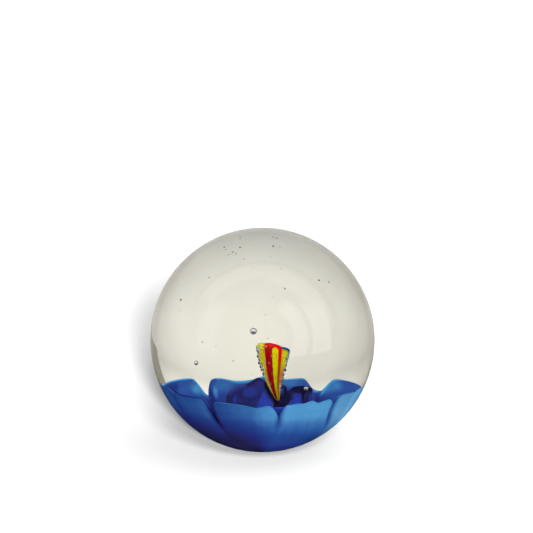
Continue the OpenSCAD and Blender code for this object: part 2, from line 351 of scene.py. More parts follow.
def whorl_light(az, z, below):
    """Lightness painted on the dark glass: 0 darkest, 1 lightest, with painted light in the windows where light shows
    through.
    """
    g = np.full_like(z, 0.40)
    # left lobe's middle and a small window beside it, lighter with painted light showing through
    g = np.maximum(g, 0.70 * spot(az, z, 208, -0.343, 14, 0.030))
    g = np.maximum(g, 0.90 * spot(az, z, 236, -0.370, 5, 0.022))
    # lighter V between the left lobe and the stem, widening downwards, painted light showing through
    w = np.clip((-0.333 - z) / 0.085, 0, 1.2)
    mid = 187 - 1.5 * w
    g = np.maximum(g, 0.84 * sm((13 * w - np.abs(apart(az, mid))) / 3.0 + 0.5) * (z < -0.325))
    # right lobe: dark, with a window of painted light showing through
    g = np.minimum(g, 1 - 0.86 * band(az, 84, 170, 12))
    g = np.maximum(g, 0.92 * band(az, 131, 141, 9) * band(z, -0.43, -0.362, 0.035))
    g = np.maximum(g, 0.55 * band(az, 80, 100, 12) * band(z, -0.37, -0.33, 0.02))
    # blue spur beside the cone
    g = np.maximum(g, 0.55 * spot(az, z, 165, -0.325, 7, 0.035))
    # dark stem from the cone's foot up the back
    s = 184 - 150 * np.clip(-0.316 - z, 0, 1)
    g = g * (1 - sm(1.6 - np.abs(apart(az, s)) / 2.6) * (z > -0.42))
    # dark rims
    g = g * (1 - 0.55 * sm(1.7 - below / 0.010) * (1 - band(az, 218, 245, 10)))
    g = np.maximum(g, 0.56 * band(az, 216, 240, 10) * sm(1.6 - below / 0.022))
    # the bowl below the lobes is plain deep blue
    front = sm((75 - np.abs(apart(az, 0))) / 25)
    g = np.maximum(g, 0.85 * front)
    cut = -0.425 + 0.06 * np.clip(np.abs(apart(az, 164)) / 15, 0, 1) ** 2 * band(az, 145, 179, 5)
    return np.maximum(g, 0.85 * sm((cut - z) / 0.03))


def build_whorl():
    az, u, rim, _, _ = columns(LOBES, 60)
    rz, a = rim * R, np.radians(az)
    floor, wide = -0.53 * R, -0.37 * R

    def outr(z, inset):
        low = (WHORL_R - inset) * np.sqrt(np.clip(1 - ((wide - z) / (wide - floor - inset)) ** 2, 0, 1))
        return np.where(z > wide, WHORL_R - inset, low)

    rings = []

    def put_ring(z, r, v):
        w = r * (1 - 0.05 * v * np.abs(u) ** 4)
        rings.append(np.stack([WHORL_AT[0] + w * np.sin(a), WHORL_AT[1] - w * np.cos(a), z], -1))

    vs = np.concatenate([[0.02, 0.06, 0.12], np.linspace(0.2, 0.97, 30)])
    for v in vs:
        z = floor + (rz - floor) * v
        put_ring(z, outr(z, 0), v)
    for deg in (25, 60, 90, 120, 155):
        t = math.radians(deg)
        z = floor + (rz - floor) * (0.97 + 0.03 * math.sin(t))
        put_ring(z, outr(z, WHORL_T * 0.5 * (1 - math.cos(t))), 1.0)
    z0 = floor + WHORL_T
    for v in vs[::-1]:
        z = z0 + (rz - z0) * v
        put_ring(z, outr(z, WHORL_T), v)
    rings = np.array(rings)
    verts, faces = skin(rings, (*WHORL_AT, floor), (*WHORL_AT, floor + WHORL_T))
    z = rings[..., 2] / R
    g = whorl_light(np.broadcast_to(az % 360, z.shape), z, rim[None, :] - z)
    g = np.concatenate([[0.2], g.ravel(), [0.2]])
    # the dark knob that the cone's point stands in, on its stem
    kr, n = KNOB[3] * R, 40
    t = np.linspace(0, 2 * np.pi, n, endpoint=False)
    prof = [(kr * 0.55, -0.525 * R), (kr * 0.42, -0.49 * R), (kr * 0.40, -0.455 * R), (kr * 0.55, -0.435 * R)]
    prof += [(kr * math.sin(q), KNOB[2] * R - kr * math.cos(q)) for q in np.radians(np.arange(50, 172, 10))]
    knob = np.array([np.stack([
        KNOB[0] * R + r * (1 + 0.05 * np.cos(3 * t)) * np.cos(t), KNOB[1] * R + r * np.sin(t), np.full(n, zz)
    ], -1) for r, zz in prof])
    kv, kf = skin(knob, (KNOB[0] * R, KNOB[1] * R, -0.526 * R), (KNOB[0] * R, KNOB[1] * R, KNOB[2] * R + kr))
    faces = list(faces) + [tuple(x + len(verts) for x in f) for f in kf]
    ob = mesh_object("whorl", np.concatenate([verts, kv]), faces)
    add_attr(ob, "light", np.concatenate([g, np.where(kv[:, 2] / R > -0.44, -0.7, 0.85)]))
    return ob


# ---------------------------------------------------------------- cone
CONE_R, CONE_H, CONE_Z = 1.62 * MM, 0.305 * R, -0.365 * R
DOME_AT, DOME_R = (0.02 * R, -0.08 * R, -0.2245 * R), 0.218 * R


def grow(h):
    return 0.09 + 1.23 * h - 0.32 * h * h


def cone_axis(h):
    """Place of the cone's middle at height h: upright above, drawn aside towards the point."""
    return (0.063 + 0.026 * np.clip(1 - h / 0.62, 0, 1) ** 2) * R


def dome_z(x, y):
    return DOME_AT[2] + np.sqrt(np.maximum(DOME_R ** 2 - (x - DOME_AT[0]) ** 2 - (y - DOME_AT[1]) ** 2, 0))


def cone_point(az, h, out=0.0):
    """Point on the cone's side at azimuth az (radians) and height h, or out metres off it."""
    r = CONE_R * grow(h) + out
    return np.stack([cone_axis(h) + r * np.sin(az), -r * np.cos(az), CONE_Z + CONE_H * h], -1)


def cone_top(az):
    """Height h at which the side meets the domed end."""
    a, b = np.full_like(az, 0.4), np.full_like(az, 1.6)
    for _ in range(40):
        m = (a + b) / 2
        p = cone_point(az, m)
        inside = p[:, 2] < dome_z(p[:, 0], p[:, 1])
        a, b = np.where(inside, m, a), np.where(inside, b, m)
    return a


def build_cone():
    n = 240
    az = np.linspace(0, 2 * np.pi, n, endpoint=False)
    top = cone_top(az)
    deg = np.degrees(az) % 360
    rings, low, down = [], [], []
    for s in np.concatenate([[0.004, 0.012, 0.025], np.linspace(0.04, 0.975, 60), [0.985, 0.993]]):
        h = top * s
        p = cone_point(az, h, 0.0)
        # a blunt point, and a soft shoulder at the upper end
        k = 1 - 0.6 * max(0.0, 1 - s / 0.025) ** 2 - 0.05 * max(0.0, (s - 0.97) / 0.03) ** 2
        ripple = 1 + 0.010 * np.cos(az * 11 + 2 * h) + 0.007 * np.cos(az * 23 + 5 * h)
        mid = np.stack([cone_axis(h), np.zeros(n), p[:, 2]], -1)
        rings.append(mid + (p - mid) * (k * ripple)[:, None])
        low.append(h)
        down.append((top - h) * CONE_H / R)
    edge = rings[-1]
    centre = np.array([edge[:, 0].mean(), edge[:, 1].mean()])
    for s in np.linspace(0.985, 0.05, 20):
        xy = centre + (edge[:, :2] - centre) * s
        z = dome_z(xy[:, 0], xy[:, 1])
        rings.append(np.stack([xy[:, 0], xy[:, 1], z], -1))
        low.append(top)
        down.append(np.full(n, -1.0 + s))
    rings = np.array(rings)
    verts, faces = skin(rings, (cone_axis(0.0), 0, CONE_Z - 0.001 * R), (*centre, dome_z(*centre)))
    ob = mesh_object("cone", verts, faces)
    h, dn = np.array(low), np.array(down)
    a = np.broadcast_to(deg, h.shape)
    # two red stripes in front, two behind; the narrow one widens as it goes down
    e0, e1 = 21.5 + 6 * (1 - h), 36.0 + 9 * (1 - h)
    red = band(apart(a, 0), -31.5 - 6 * (1 - h), -2.0 + 9 * np.clip(0.85 - h, 0, 1), 0.8)
    red = np.maximum(red, band(apart(a, 0), e0, e1, 0.8))
    red = np.maximum(red, band(a, 98, 130, 0.8))
    red = np.maximum(red, band(a, 180, 214, 0.8))
    red = np.maximum(red, band(a, 244, 258, 0.8))
    # the front yellow stripe ends short of the top in a rounded tongue
    across = np.clip(np.abs(apart(a, 9.8)) / 11.8, 0, 1)
    tongue = 0.013 + 0.018 * (1 - np.sqrt(1 - across ** 2))
    cap = sm((tongue - dn) / 0.003 + 0.5) * band(apart(a, 0), -31, 36, 1.0)
    red = np.maximum(red, cap)
    right = band(apart(a, 0), 10, 95, 10)
    tan = band(apart(a, 0), e1 - 2, 82, 10) * sm((0.74 - h) / 0.2) * sm((h - 0.22) / 0.2)
    # the yellow runs to orange beside the red
    fringe = np.maximum(band(apart(a, 0), -38.5 - 6 * (1 - h), -31, 3), band(apart(a, 0), e1, e1 + 7, 3))
    pad = lambda v, f, l: np.concatenate([[f], np.asarray(v, float).ravel(), [l]])
    add_attr(ob, "red", pad(red, 0.3, 1))
    add_attr(ob, "fringe", pad(fringe, 0, 0))
    add_attr(ob, "cap", pad(sm((0.022 - dn) / 0.014), 0, 1))
    add_attr(ob, "right", pad(right, 0.5, 0.5))
    add_attr(ob, "tan", pad(tan, 0, 0))
    add_attr(ob, "high", pad(h, 0, 1))
    # painted shade: the cone darker towards its outline at both sides and behind
    shade = np.interp(apart(a, 0), [-180, -95, -62, -40, 40, 62, 95, 180], [0.5, 0.7, 0.08, 0.0, 0.0, 0.10, 0.5, 0.5])
    add_attr(ob, "shade", pad(shade, 0, 0.3))
    return ob


def build_thread():
    """Blue glass thread: over the cone's shoulder, then down its side."""
    deg = np.array([30, 40, 52, 66, 80, 90, 95, 97, 96, 95], float)
    gap = np.array([0.004, 0.0, -0.002, -0.002, 0.0, 0.012, 0.035, 0.060, 0.085, 0.110])
    t = np.linspace(0, 1, 90)
    az = np.radians(spline(deg, t))
    h = cone_top(az) - spline(gap, t) * R / CONE_H
    rad = np.interp(t, [0, 0.08, 0.5, 0.8, 1], [0.2, 0.6, 0.6, 0.5, 0.2]) * 0.010 * R
    p = cone_point(az, h, 0.0045 * R)
    d = np.gradient(p, axis=0)
    d /= np.linalg.norm(d, axis=1, keepdims=True)
    side = np.cross(d, p - np.array([0.063 * R, 0, -0.1 * R]))
    side /= np.linalg.norm(side, axis=1, keepdims=True)
    out = np.cross(side, d)
    n = 14
    ring = []
    for k in range(len(t)):
        ph = np.linspace(0, 2 * np.pi, n, endpoint=False)
        ring.append(p[k] + rad[k] * (np.cos(ph)[:, None] * out[k] + np.sin(ph)[:, None] * side[k]))
    ring = np.array(ring)
    verts, faces = skin(ring, p[0] - d[0] * rad[0] * 0.5, p[-1] + d[-1] * rad[-1] * 0.5)
    ob = mesh_object("thread", verts, faces)
    along = np.broadcast_to(t[:, None], ring.shape[:2])
    add_attr(ob, "along", np.concatenate([[0], along.ravel(), [1]]))
    return ob


# ---------------------------------------------------------------- materials
def mat_glass():
    k = Nodes("clear_glass")
    p = k.n("BsdfPrincipled")
    p.inputs["Base Color"].default_value = (0.85, 0.85, 0.85, 1)
    p.inputs["Roughness"].default_value = 0.0
    p.inputs["IOR"].default_value = 1.5
    p.inputs["Transmission Weight"].default_value = 1.0
    v = k.n("VolumeAbsorption")
    v.inputs["Color"].default_value = (0.72, 0.62, 0.05, 1)
    v.inputs["Density"].default_value = 7.0
    k.link(p.outputs[0], k.out.inputs["Surface"])
    k.link(v.outputs[0], k.out.inputs["Volume"])
    return k.m


def mat_bubble(name, tint, rim, below=(0.16, 0.18, 0.62), ring=0.12):
    """Air in glass: clear in the middle, with a painted dark outline for what total reflection gives a bubble, and a
    painted blue reflection of the petals below in its lower half.
    """
    k = Nodes(name)
    p = k.n("BsdfPrincipled")
    # painted reflection: the lower half, and its outline, tinted blue for the petals below
    low = k.math("MULTIPLY", k.math("SUBTRACT", -0.15, k.attr("up")), 3.5, clamp=True)
    k.link(k.mix(low, tint, below), p.inputs["Base Color"])
    p.inputs["Roughness"].default_value = 0.0
    p.inputs["IOR"].default_value = 1.5
    p.inputs["Transmission Weight"].default_value = 1.0
    dark = k.n("BsdfPrincipled")
    k.link(k.mix(low, (ring, ring, ring * 0.9), (ring * 0.3, ring * 0.35, ring * 2.0)), dark.inputs["Base Color"])
    dark.inputs["Roughness"].default_value = 0.5
    face = k.n("LayerWeight", inputs={"Blend": 0.5})
    fac = k.math("MULTIPLY", k.math("SUBTRACT", face.outputs["Facing"], rim), 3.0, clamp=True)
    ms = k.n("MixShader")
    k.link(k.math("MULTIPLY", fac, 0.85), ms.inputs[0])
    k.link(p.outputs[0], ms.inputs[1])
    k.link(dark.outputs[0], ms.inputs[2])
    k.link(ms.outputs[0], k.out.inputs["Surface"])
    return k.m


def matte(k, col, rough=0.5):
    p = k.n("BsdfPrincipled")
    p.inputs["Roughness"].default_value = rough
    p.inputs["Specular IOR Level"].default_value = 0.0
    k.link(col, p.inputs["Base Color"])
    k.link(p.outputs[0], k.out.inputs["Surface"])
    return k.m


def cloud(k, scale, detail=3.0, vector=None, stretch=None):
    noise = k.n("TexNoise", inputs={"Scale": scale, "Detail": detail})
    if vector is None:
        vector = k.n("NewGeometry").outputs["Position"]
    if stretch is not None:
        mp = k.n("Mapping")
        mp.inputs["Scale"].default_value = stretch
        k.link(vector, mp.inputs["Vector"])
        vector = mp.outputs[0]
    k.link(vector, noise.inputs["Vector"])
    return k.math("SUBTRACT", noise.outputs[0], 0.5)


GAIN = 3.65


def mat_petals():
    k = Nodes("blue_glass")
    geo = k.n("NewGeometry")
    sep = k.n("SeparateXYZ", inputs={0: geo.outputs["Position"]})
    z = k.math("DIVIDE", sep.outputs[2], R)
    # streaks drawn up the petals, and soft clouds in the glass
    uv = k.n("CombineXYZ")
    k.link(k.math("MULTIPLY", k.attr("turn"), 60.0), uv.inputs[0])
    k.link(k.math("MULTIPLY", z, 2.2), uv.inputs[1])
    streak = cloud(k, 1.0, 2.0, uv.outputs[0])
    soft = cloud(k, 230.0, 2.0)
    fine = cloud(k, 1500.0, 2.0)
    wob = k.math("ADD", k.math("MULTIPLY", streak, 0.08), k.math("MULTIPLY", soft, 0.14))
    wob = k.math("ADD", wob, k.math("MULTIPLY", fine, 0.05))
    outer = k.ramp(k.math("ADD", k.attr("outer"), wob, clamp=True), [
        (0.00, lin(30, 31, 71)), (0.15, lin(32, 36, 98)), (0.25, lin(31, 45, 114)), (0.35, lin(33, 55, 125)),
        (0.45, lin(35, 66, 135)), (0.55, lin(44, 82, 150)), (0.65, lin(54, 100, 166)), (0.75, lin(66, 122, 182)),
        (0.85, lin(77, 143, 199)), (1.00, lin(90, 163, 214)),
    ], "LINEAR")
    inner = k.ramp(k.math("ADD", k.attr("inner"), k.math("MULTIPLY", wob, 0.6), clamp=True), [
        (0.00, lin(33, 29, 84)), (0.15, lin(36, 40, 112)), (0.30, lin(40, 60, 144)), (0.50, lin(46, 82, 162)),
        (0.70, lin(58, 108, 176)), (0.88, lin(66, 132, 194)), (1.00, lin(60, 150, 216)),
    ], "LINEAR")
    # partly painted light: the lighter, greyer patch on the right-hand petals
    outer = k.mix(k.math("MULTIPLY", k.attr("pale_and_lit"), 0.3), outer, lin(122, 158, 200))
    # painted light: the petals brighter near the ball's right-hand outline
    outer = k.mix(k.attr("limb_highlight"), outer, k.mix(1.0, outer, (1.7, 1.5, 1.4), "MULTIPLY"))
    # painted shade: darker and more purple in the crease
    outer = k.mix(k.attr("crease_shade"), outer, k.mix(1.0, outer, (0.80, 0.40, 0.55), "MULTIPLY"))
    inner = k.mix(1.0, inner, (1.5, 1.45, 1.4), "MULTIPLY")
    # painted shade: inside darker at the notch and the crease
    inner = k.mix(k.attr("notch"), inner, k.mix(1.0, inner, (0.75, 0.40, 0.50), "MULTIPLY"))
    near = k.math("MULTIPLY", k.math("SUBTRACT", k.attr("side"), 0.35), 5.0, clamp=True)
    col = k.mix(near, outer, inner)
    # painted light: the colour is raised towards the foot and lowered towards the tips, evening out the lamp light that
    # reaches the petals here, so the tones above, painted shade included, show as given
    g = k.math("MULTIPLY", k.math("ADD", z, 0.74), 1 / 0.40, clamp=True)  # 0 at -0.74, 1 at -0.34
    light_evening = k.ramp(g, [
        (0.00, (1.50, 1.25, 1.30)), (0.10, (1.15, 1.00, 1.05)), (0.20, (0.72, 0.72, 0.73)), (0.40, (0.57, 0.63, 0.61)),
        (0.60, (0.49, 0.47, 0.47)), (0.80, (0.35, 0.36, 0.39)), (1.00, (0.32, 0.33, 0.36)),
    ], "LINEAR")
    light_evening = k.mix(1.0, light_evening, (GAIN, GAIN, GAIN), "MULTIPLY")
    col = k.mix(1.0, col, light_evening, "MULTIPLY")
    return matte(k, col, 0.6)


def mat_whorl():
    k = Nodes("cobalt_glass")
    wob = k.math("ADD", k.math("MULTIPLY", cloud(k, 420.0), 0.22), k.math("MULTIPLY", cloud(k, 1900.0, 2.0), 0.10))
    col = k.ramp(k.math("ADD", k.attr("light"), wob, clamp=True), [
        (0.00, lin(15, 14, 31)), (0.12, lin(22, 21, 46)), (0.30, lin(33, 33, 73)), (0.60, lin(41, 46, 108)), (0.80, lin(40, 50, 125)),
        (1.00, lin(38, 60, 150)),
    ], "LINEAR")
    return matte(k, k.mix(1.0, col, (2.9, 3.2, 3.6), "MULTIPLY"), 0.5)


def mat_cone():
    k = Nodes("striped_glass")
    high, right, shade = k.attr("high"), k.attr("right"), k.attr("shade")
    grain = cloud(k, 2600.0, 3.0)
    patch = cloud(k, 900.0, 2.0)
    # painted shade: the yellow darker towards the outline, greener on the right side
    yellow = k.mix(shade, lin(222, 224, 12), lin(156, 152, 34))
    yellow = k.mix(k.math("MULTIPLY", right, k.math("MULTIPLY", shade, 0.9)), yellow, lin(178, 205, 84))
    # painted shade: the yellow darker towards the cone's point
    low = k.math("SUBTRACT", 1.0, k.math("MULTIPLY", high, 1.6, clamp=True))
    yellow = k.mix(k.math("MULTIPLY", low, 0.5), yellow, lin(150, 160, 44))
    y2 = k.mix(k.math("ADD", k.math("MULTIPLY", patch, 2.4), 0.12, clamp=True), yellow, lin(206, 160, 8))
    y2 = k.mix(k.math("MULTIPLY", k.attr("fringe"), 0.6), y2, lin(222, 146, 18))
    spots = k.math("MULTIPLY", k.math("SUBTRACT", cloud(k, 3600.0, 1.0), 0.10), 9.0, clamp=True)
    mott = k.math("MULTIPLY", spots, k.math("SUBTRACT", 0.45, k.math("MULTIPLY", right, 0.15)))
    y2 = k.mix(mott, y2, lin(128, 112, 44))
    y2 = k.mix(k.math("MULTIPLY", k.attr("tan"), k.math("ADD", 0.75, patch), clamp=True), y2, lin(212, 122, 66))
    dark_red = k.mix(k.math("ADD", k.math("MULTIPLY", grain, 2.6), 0.35, clamp=True), lin(184, 16, 20), lin(138, 12, 26))
    dark_red = k.mix(k.attr("cap"), dark_red, lin(216, 24, 20))
    hot = k.math("MULTIPLY", k.math("SUBTRACT", high, 0.66), 4.0, clamp=True)
    bright = k.mix(hot, lin(184, 76, 28), lin(232, 6, 10))
    red = k.mix(right, dark_red, bright)
    col = k.mix(k.attr("red"), y2, red)
    dim = k.mix(k.math("ADD", k.math("MULTIPLY", grain, 1.4), 0.3, clamp=True), (1, 1, 1), (0.8, 0.8, 0.8))
    col = k.mix(1.0, col, dim, "MULTIPLY")
    return matte(k, k.mix(1.0, col, (1.25, 1.25, 1.25), "MULTIPLY"), 0.5)


def mat_thread():
    k = Nodes("thread_glass")
    wob = k.math("MULTIPLY", cloud(k, 1400.0), 0.5)
    col = k.ramp(k.math("ADD", k.attr("along"), wob, clamp=True), [
        (0.00, lin(18, 70, 175)), (0.30, lin(22, 80, 182)), (0.45, lin(60, 130, 200)), (0.60, lin(120, 168, 215)), (1.00, lin(150, 185, 222)),
    ])
    return matte(k, col, 0.4)


def mat_speck():
    k = Nodes("dark_speck")
    col = k.mix(k.math("ADD", k.math("MULTIPLY", cloud(k, 900.0), 2.0), 0.5, clamp=True), lin(24, 26, 84), lin(52, 62, 140))
    return matte(k, col, 0.4)


# ---------------------------------------------------------------- build
def build_ball():
    """Ball of hand-finished glass: round to the eye, with swells of a few hundredths of a millimetre."""
    n, m = 256, 128
    az = np.linspace(0, 2 * np.pi, n, endpoint=False)
    rings = []
    for i in range(1, m):
        q = math.pi * i / m
        d = np.stack([np.sin(q) * np.sin(az), -np.sin(q) * np.cos(az), np.full(n, -math.cos(q))], -1)
        swell = np.sin(3.1 * d[:, 0] + 1.0) * np.sin(2.3 * d[:, 1] + 0.4) * np.sin(2.7 * d[:, 2] + 2.0)
        rings.append(d * (1 - 0.0006 * (1 + swell))[:, None])
    rings = np.array(rings) * R
    verts, faces = skin(rings, (0, 0, -R * 0.9994), (0, 0, R * 0.9994))
    return mesh_object("ball", verts, faces)


def icosphere(sub):
    import bmesh

    bm = bmesh.new()
    bmesh.ops.create_icosphere(bm, subdivisions=sub, radius=1.0)
    v = np.array([x.co for x in bm.verts])
    f = [[y.index for y in x.verts] for x in bm.faces]
    bm.free()
    return v, np.array(f)


def scatter(name, spots, sub, inward):
    """Spots are centre (metres), size along its own axes (metres) and a turn."""
    v0, f0 = icosphere(sub)
    vs, fs, base = [], [], 0
    for c, size, turn in spots:
        m = Matrix.Rotation(turn, 3, "Y")
        vs.append(np.array([m @ Vector(v) for v in v0 * np.array(size)]) + np.array(c))
        fs.append((f0[:, ::-1] if inward else f0) + base)
        base += len(v0)
    ob = mesh_object(name, np.concatenate(vs), np.concatenate(fs))
    add_attr(ob, "up", np.tile(v0[:, 2], len(spots)))
    return ob


# bubbles: place in R, diameter in mm, height to width
BUBBLES = [
    (-0.054, 0.00, 0.052, 0.80, 0.92), (-0.395, 0.00, -0.144, 0.47, 1.05), (0.254, 0.00, -0.294, 0.46, 0.85),
]
MOTES = [
    (-0.257, 0.10, 0.613, 0.27), (-0.192, 0.10, 0.556, 0.24), (-0.170, 0.10, 0.540, 0.18), (-0.161, 0.10, 0.732, 0.24),
    (-0.152, 0.10, 0.696, 0.19), (-0.147, 0.10, 0.596, 0.27), (-0.118, 0.10, 0.494, 0.15), (-0.084, 0.10, 0.668, 0.12),
    (0.073, 0.10, 0.707, 0.22), (0.098, 0.10, 0.694, 0.24), (0.070, 0.10, 0.603, 0.30), (0.113, 0.10, 0.595, 0.15),
    (0.053, 0.10, 0.508, 0.13), (0.115, 0.10, 0.420, 0.13), (0.134, 0.10, 0.287, 0.20), (0.346, 0.10, 0.349, 0.24),
    (0.411, 0.10, 0.341, 0.19), (-0.530, 0.00, 0.266, 0.26), (-0.347, 0.00, 0.413, 0.16), (0.631, 0.00, 0.106, 0.15),
    (-0.173, 0.00, -0.131, 0.13), (-0.238, 0.12, 0.570, 0.17), (-0.218, 0.08, 0.548, 0.16), (0.08, 0.12, 0.66, 0.10),
]


def build_bubbles():
    return scatter("bubbles", [
        (np.array(b[:3]) * R, np.array([1, 1, b[4]]) * b[3] / 2 * MM, 0.0) for b in BUBBLES
    ], 4, True)


def build_motes():
    rng = np.random.default_rng(3)
    spots = [(np.array(b[:3]) * R, np.array([1, 1, 0.85]) * b[3] / 2 * MM, 0.0) for b in MOTES]
    for _ in range(16):
        d = rng.normal(size=3)
        d = d / np.linalg.norm(d) * rng.uniform(0.3, 0.9)
        if d[2] > -0.1:
            spots.append((d * R, np.array([1, 1, 0.9]) * rng.uniform(0.05, 0.07) * MM, 0.0))
    return scatter("motes", spots, 3, True)


def foam_spots(seed, count, side, size, out, at=(-78, 22), low=0.42):
    rng = np.random.default_rng(seed)
    spots = []
    for _ in range(count):
        if rng.uniform() < side:
            az = math.radians(rng.normal(*at))
        elif rng.uniform() < 0.5:
            az = math.radians(rng.normal(75, 18))
        else:
            az = rng.uniform(0, 2 * np.pi)
        a = np.array([az])
        h = rng.uniform(low if math.sin(az) < 0 else 0.2, 0.98 if low > 0.3 else 0.72) * cone_top(a)[0]
        d = rng.uniform(*size) * MM
        p = cone_point(a, np.array([h]), d * out)[0]
        spots.append((p, np.array([1, 1, rng.uniform(0.8, 1.5)]) * d / 2, rng.uniform(-0.4, 0.4)))
    return spots


def put(ob, mat, slot, *replaced):
    ob.data.materials.clear()
    ob.data.materials.append(mat)
    # what lies in the ball isn't mirrored again by the ball's inner side
    ob.visible_glossy = slot == "clear_glass"
    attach(ob, "root")
    if replaced:
        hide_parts(*replaced)


put(build_ball(), mat_glass(), "clear_glass", "clear_ball")
put(build_cup(), mat_petals(), "blue_glass", "petal_cup")
put(build_whorl(), mat_whorl(), "cobalt_glass", "inner_whorl")
put(build_cone(), mat_cone(), "yellow_glass", "cone_body", "cone_stripes")
put(build_thread(), mat_thread(), "thread_glass", "cone_thread")
air = mat_bubble("air_bubble", (0.92, 0.93, 0.95), 0.38, (0.08, 0.09, 0.42), 0.10)
put(build_bubbles(), air, "clear_glass")
put(build_motes(), mat_bubble("air_mote", (0.22, 0.23, 0.24), 0.22), "clear_glass")
foam = foam_spots(7, 140, 0.66, (0.09, 0.19), 0.30, low=0.52) + foam_spots(5, 30, 1.0, (0.06, 0.11), 0.35, (-38, 15), 0.16)
put(scatter("foam", foam, 2, True), mat_bubble("air_foam", (0.95, 0.95, 0.92), 0.55, (0.45, 0.48, 0.75)), "clear_glass")
# azimuth, height and diameter in mm of the specks that stand out
SPECKS = [
    (-88, 0.86, 0.28), (-86, 0.73, 0.30), (-90, 0.65, 0.22), (-87, 0.59, 0.20), (-80, 0.52, 0.14), (-95, 0.97, 0.20),
    (86, 0.59, 0.26), (90, 0.68, 0.18), (84, 0.40, 0.22), (88, 0.50, 0.16),
]
specks = foam_spots(11, 36, 0.6, (0.10, 0.17), 0.5)
for az, h, d in SPECKS:
    at = cone_point(np.radians([az]), np.array([h]), d * 0.35 * MM)[0]
    specks.append((at, np.array([1, 1, 1.1]) * d / 2 * MM, 0.0))
put(scatter("specks", specks, 2, False), mat_speck(), "thread_glass")


# ---------------------------------------------------------------- stage
def build_sweep():
    """Round paper sweep: flat floor under the ball, curved up into a low wall all round."""
    flat, bend, top = 30 * R, 14 * R, 40 * R
    prof = [(flat * i / 8, 0.0) for i in range(1, 9)]
    prof += [
        (flat + bend * math.sin(math.radians(a)), bend * (1 - math.cos(math.radians(a))))
        for a in range(6, 91, 6)
    ]
    prof += [(flat + bend, bend + (top - bend) * i / 3) for i in (1, 2, 3)]
    n = 96
    verts = [(0, 0, -R)]
    for r, z in prof:
        for j in range(n):
            t = 2 * math.pi * j / n
            verts.append((r * math.cos(t), r * math.sin(t), z - R))
    faces = [(0, 1 + j, 1 + (j + 1) % n) for j in range(n)]
    for i in range(len(prof) - 1):
        for j in range(n):
            p0, p1 = 1 + i * n + j, 1 + i * n + (j + 1) % n
            faces.append((p0, p0 + n, p1 + n, p1))
    return mesh_object("floor", verts, faces)


def mat_paper(name, low, through):
    """White paper, dimmer on the flat than on the wall. What shows through the ball carries painted shade: soft dark
    sides, as black flags beside a backdrop would give glass, a painted shadow close round the ball and to the left, and
    the wall darker away from straight behind; what lights the glass inside sees plain white paper."""
    k = Nodes(name)
    p = k.n("BsdfPrincipled")
    sep = k.n("SeparateXYZ", inputs={0: k.n("NewGeometry").outputs["Position"]})
    x, y = k.math("DIVIDE", sep.outputs[0], R), k.math("DIVIDE", sep.outputs[1], R)
    rise = k.math("DIVIDE", sep.outputs[2], 10 * R, clamp=True)
    base = k.mix(rise, (low, low, low), (0.90, 0.90, 0.90))
    far = k.math("SQRT", k.math("ADD", k.math("MULTIPLY", x, x), k.math("MULTIPLY", y, y)))
    outer = k.math("MULTIPLY", k.math("SUBTRACT", far, 12.0), 0.125, clamp=True)
    glow = k.mix(rise if through else k.math("MAXIMUM", rise, outer), (0, 0, 0), (1, 1, 1))
    if through:
        turn = k.math("DIVIDE", k.math("ABSOLUTE", k.math("ARCTAN2", x, y)), math.pi)
        grey = lambda v: (v, v, v)
        # painted shade: the paper seen through the ball darker to the sides
        sides = k.ramp(turn, [
            (0.00, grey(1.0)), (0.10, grey(0.97)), (0.20, grey(0.84)), (0.28, grey(0.75)), (0.35, grey(0.74)),
            (0.50, grey(0.85)), (0.67, grey(1.0)),
        ])
        # painted shadow: darker close round the ball
        near_shadow = k.ramp(k.math("DIVIDE", far, 10.0), [
            (0.00, grey(0.80)), (0.15, grey(0.80)), (0.18, grey(0.82)), (0.23, grey(0.92)), (0.29, grey(1.0)),
        ], "LINEAR")
        # painted shadow: darker to the left
        left = k.math("SUBTRACT", 1.0, k.math("MULTIPLY", k.math("MULTIPLY", x, -1.0, clamp=True), 0.10))
        # painted shade: the wall darker away from straight behind
        high = k.math("MULTIPLY", k.math("MULTIPLY", k.math("SUBTRACT", turn, 0.19), 8.0, clamp=True), rise)
        f = k.mix(1.0, k.mix(1.0, sides, near_shadow, "MULTIPLY"), left, "MULTIPLY")
        f = k.mix(1.0, f, k.math("SUBTRACT", 1.0, k.math("MULTIPLY", high, 0.25)), "MULTIPLY")
        lit = k.math("MINIMUM", k.n("LightPath").outputs["Diffuse Depth"], 1.0)
        base = k.mix(lit, k.mix(1.0, base, f, "MULTIPLY"), (0.88, 0.88, 0.88))
        glow = k.mix(1.0, glow, k.mix(lit, f, (1, 1, 1)), "MULTIPLY")
    k.link(base, p.inputs["Base Color"])
    p.inputs["Roughness"].default_value = 0.9
    p.inputs["Specular IOR Level"].default_value = 0.0
    k.link(glow, p.inputs["Emission Color"])
    p.inputs["Emission Strength"].default_value = 0.25 if through else 1.0
    k.link(p.outputs[0], k.out.inputs["Surface"])
    return k.m


# one sweep for the lens and one, a hair lower, for what is seen and lit through the ball
floor = build_sweep()
floor.data.materials.append(mat_paper("floor_paper", 0.075, False))
floor.visible_glossy = floor.visible_transmission = floor.visible_diffuse = floor.visible_shadow = False
under = build_sweep()
under.name = "floor_through"
under.location.z = -0.001 * R
under.data.materials.append(mat_paper("floor_paper_through", 0.61, True))
under.visible_glossy = under.visible_camera = False

